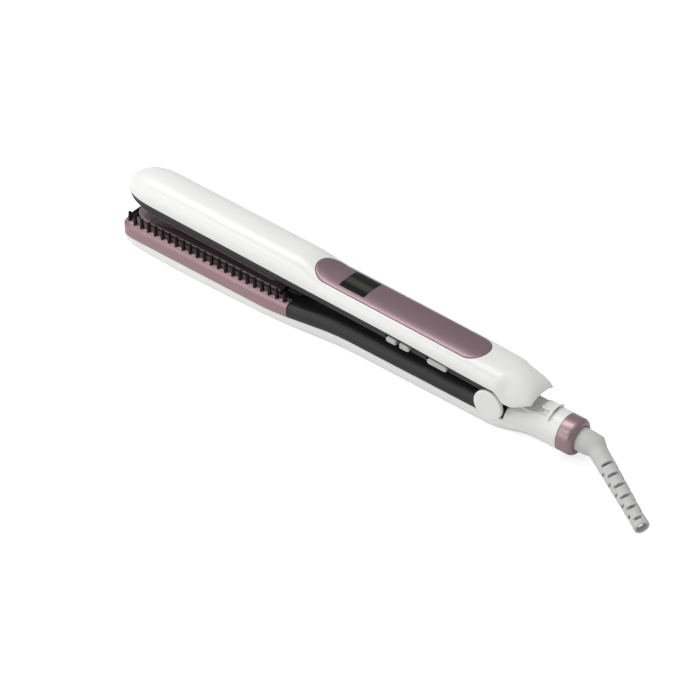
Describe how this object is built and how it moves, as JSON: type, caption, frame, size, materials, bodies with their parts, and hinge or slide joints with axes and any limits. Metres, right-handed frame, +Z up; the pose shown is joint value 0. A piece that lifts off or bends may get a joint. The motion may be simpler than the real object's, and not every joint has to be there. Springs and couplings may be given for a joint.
{
  "type": "hair straightening brush",
  "caption": "Hinged flat iron with a floating heated plate, comb rows along both sides of the lower plate, a display panel, side buttons and a swivelling cord outlet.",
  "frame": {"origin": "on the flat underside of the lower casing, on its centre line, halfway between the hinge axis and the start of the rounded front; the underside lies in the plane z = 0", "axes": "+X runs along the arms from the comb's front end towards the cord outlet, -Y is the side with the buttons, +Z is up through the lower arm towards the upper arm"},
  "size_m": [0.349, 0.0461, 0.045],
  "materials": {
    "casing_white": "satin",
    "comb_rose": "satin",
    "black_plastic": "satin",
    "plate_coating": "gloss",
    "nose_mauve": "gloss",
    "panel_mauve": "satin",
    "collar_mauve": "gloss",
    "display_glass": "gloss",
    "button_grey": "satin",
    "relief_grey": "matte",
    "steel": "satin",
    "ceramic": "matte",
    "board_green": "satin",
    "dark_module": "matte",
    "contact_brass": "satin",
    "lead_red": "matte",
    "sensor_orange": "matte"
  },
  "bodies": {
    "lower_arm": {"lower_shell": "casing_white", "comb_casing": "comb_rose", "comb_near": "black_plastic", "comb_far": "black_plastic", "comb_tip": "black_plastic", "lower_grip_cover": "black_plastic", "lower_plate": "plate_coating", "lower_plate_frame": "nose_mauve", "lower_heater": "ceramic", "lower_heater_clip": "steel", "thermal_fuse": "steel", "hinge_pin": "steel", "hinge_cap_near": "casing_white", "hinge_cap_far": "casing_white", "opening_spring": "steel", "tail_cover": "casing_white", "cord_collar": "collar_mauve", "contact_brushes": "contact_brass", "lower_screws": "steel", "heater_leads": "lead_red"},
    "upper_arm": {"upper_shell": "casing_white", "upper_inner_cover": "black_plastic", "front_plate_springs": "steel", "rear_plate_springs": "steel", "grip_panel": "panel_mauve", "display_window": "display_glass", "display_module": "dark_module", "main_board": "board_green", "switch_board": "board_green", "ion_generator": "dark_module", "ion_outlet": "dark_module", "upper_screws": "steel"},
    "floating_plate": {"upper_plate": "plate_coating", "upper_plate_frame": "black_plastic", "upper_heater": "ceramic", "upper_heater_clip": "steel", "temperature_sensor": "sensor_orange"},
    "power": {"power_button": "button_grey"},
    "plus": {"plus_button": "button_grey"},
    "minus": {"minus_button": "button_grey"},
    "lock": {"lock_slide": "casing_white"},
    "cord_swivel": {"swivel_bush": "relief_grey", "contact_rings": "contact_brass", "strain_relief": "relief_grey"}
  },
  "joints": [
    {"name": "arm_hinge", "type": "hinge", "parent": "lower_arm", "child": "upper_arm", "pos_m": [0.1125, 0, 0.0174], "axis": [0, 1, 0], "range_deg": [-1.3, 6.7], "stiffness_Nm_per_rad": 3, "springref_deg": 2.29},
    {"name": "plate_float", "type": "slide", "parent": "upper_arm", "child": "floating_plate", "axis": [0.0227, 0, 0.9997], "range_m": [0, 0.001], "stiffness_N_per_m": 4000, "deforming": ["front_plate_springs", "rear_plate_springs"]},
    {"name": "power_press", "type": "slide", "parent": "upper_arm", "child": "power", "axis": [0, 1, 0], "range_m": [0, 0.0005], "stiffness_N_per_m": 600},
    {"name": "plus_press", "type": "slide", "parent": "upper_arm", "child": "plus", "axis": [0, 1, 0], "range_m": [0, 0.0005], "stiffness_N_per_m": 600},
    {"name": "minus_press", "type": "slide", "parent": "upper_arm", "child": "minus", "axis": [0, 1, 0], "range_m": [0, 0.0005], "stiffness_N_per_m": 600},
    {"name": "lock_slide_travel", "type": "slide", "parent": "lower_arm", "child": "lock", "axis": [-1, 0, 0], "range_m": [0, 0.004]},
    {"name": "cord_turn", "type": "hinge", "parent": "lower_arm", "child": "cord_swivel", "pos_m": [0.1501, 0, 0.0125], "axis": [1, 0, 0], "continuous": true}
  ]
}
